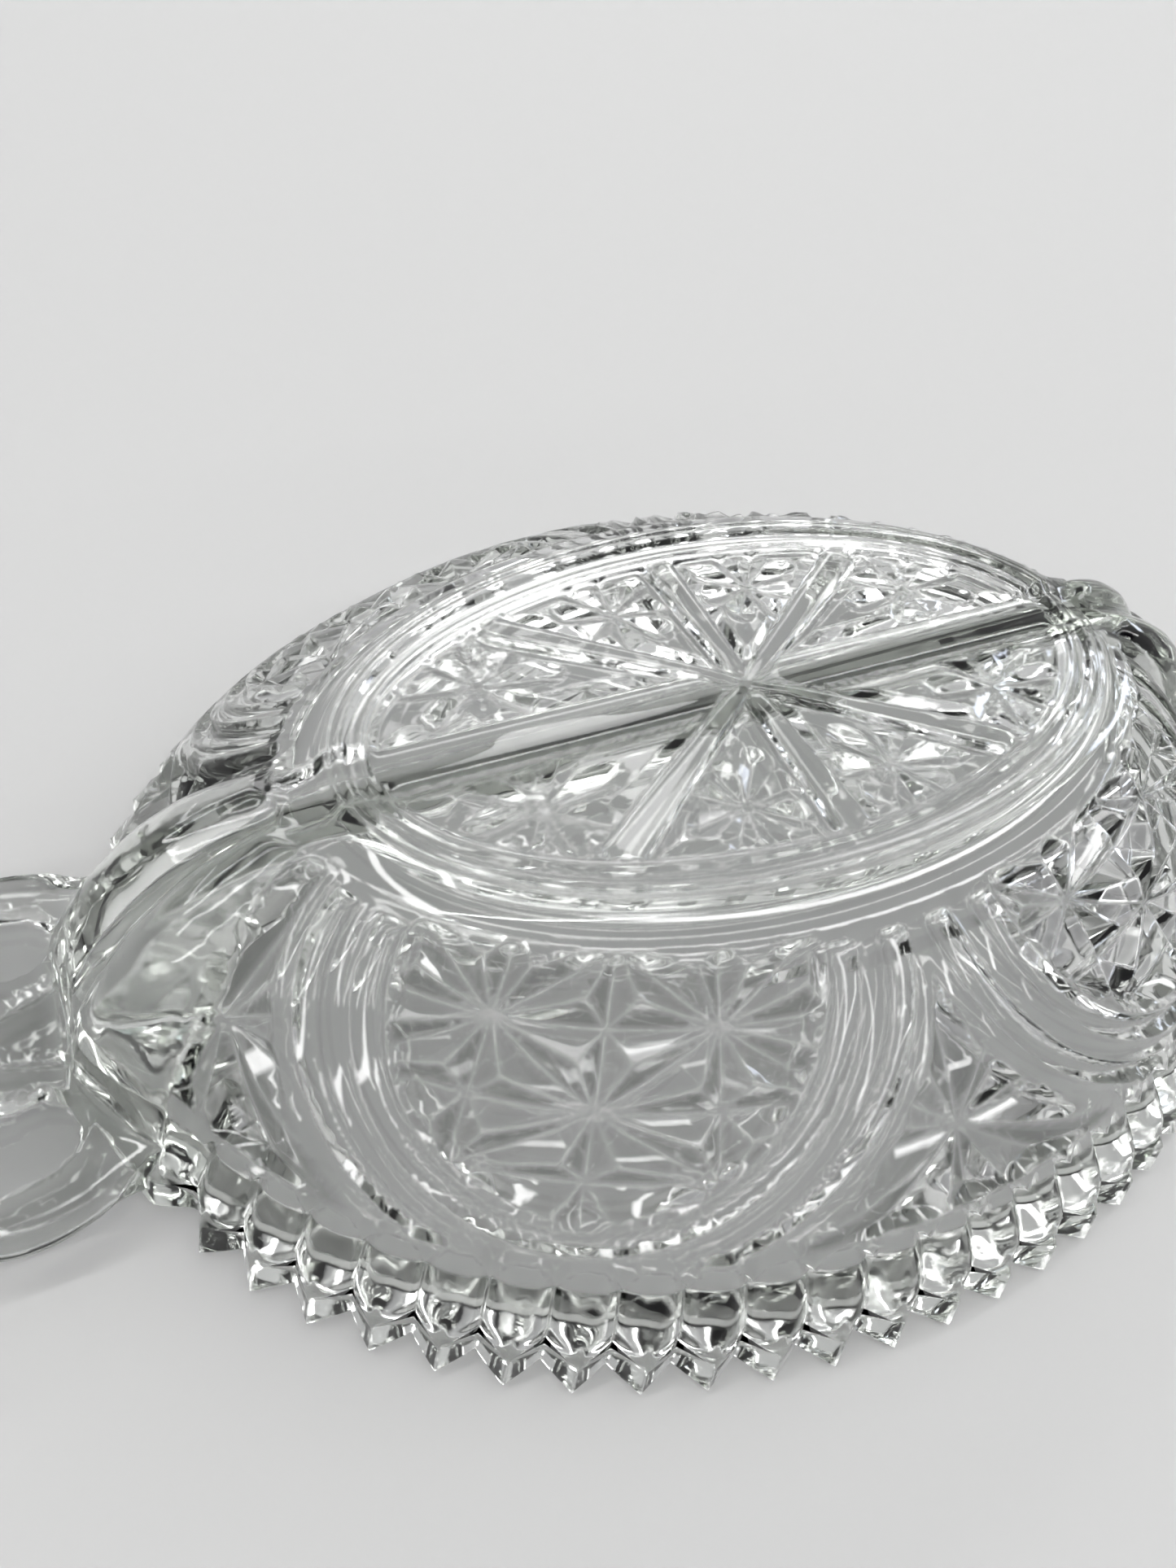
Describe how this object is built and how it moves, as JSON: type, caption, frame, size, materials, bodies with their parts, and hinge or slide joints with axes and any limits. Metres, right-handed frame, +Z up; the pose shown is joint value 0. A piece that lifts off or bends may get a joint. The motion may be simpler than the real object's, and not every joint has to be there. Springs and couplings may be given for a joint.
{
  "type": "divided candy dish",
  "caption": "Oval clear pressed-glass dish with a lengthwise divider, saw-tooth rim, star-cut foot and two lobed tab handles, turned over on its rim.",
  "frame": {"origin": "centre of the dish in the plane of its rim, on the surface that the turned-over dish rests on", "axes": "+X along the divider and through the handles, +Y across the dish, +Z up towards the foot ring; in use the dish is turned over, so the foot ring's crest is its base"},
  "size_m": [0.2524, 0.1648, 0.0475],
  "materials": {
    "glass": "clear polished pressed glass with a faint grey-green tint in its thick edges"
  },
  "bodies": {
    "root": {"base_panel": "glass", "divider": "glass", "front_foot_ring": "glass", "back_foot_ring": "glass", "front_saw_rim": "glass", "back_saw_rim": "glass", "front_left_arch_panel": "glass", "front_right_arch_panel": "glass", "back_left_arch_panel": "glass", "back_right_arch_panel": "glass", "left_end_panel": "glass", "right_end_panel": "glass", "left_handle": "glass", "right_handle": "glass"}
  },
  "joints": []
}
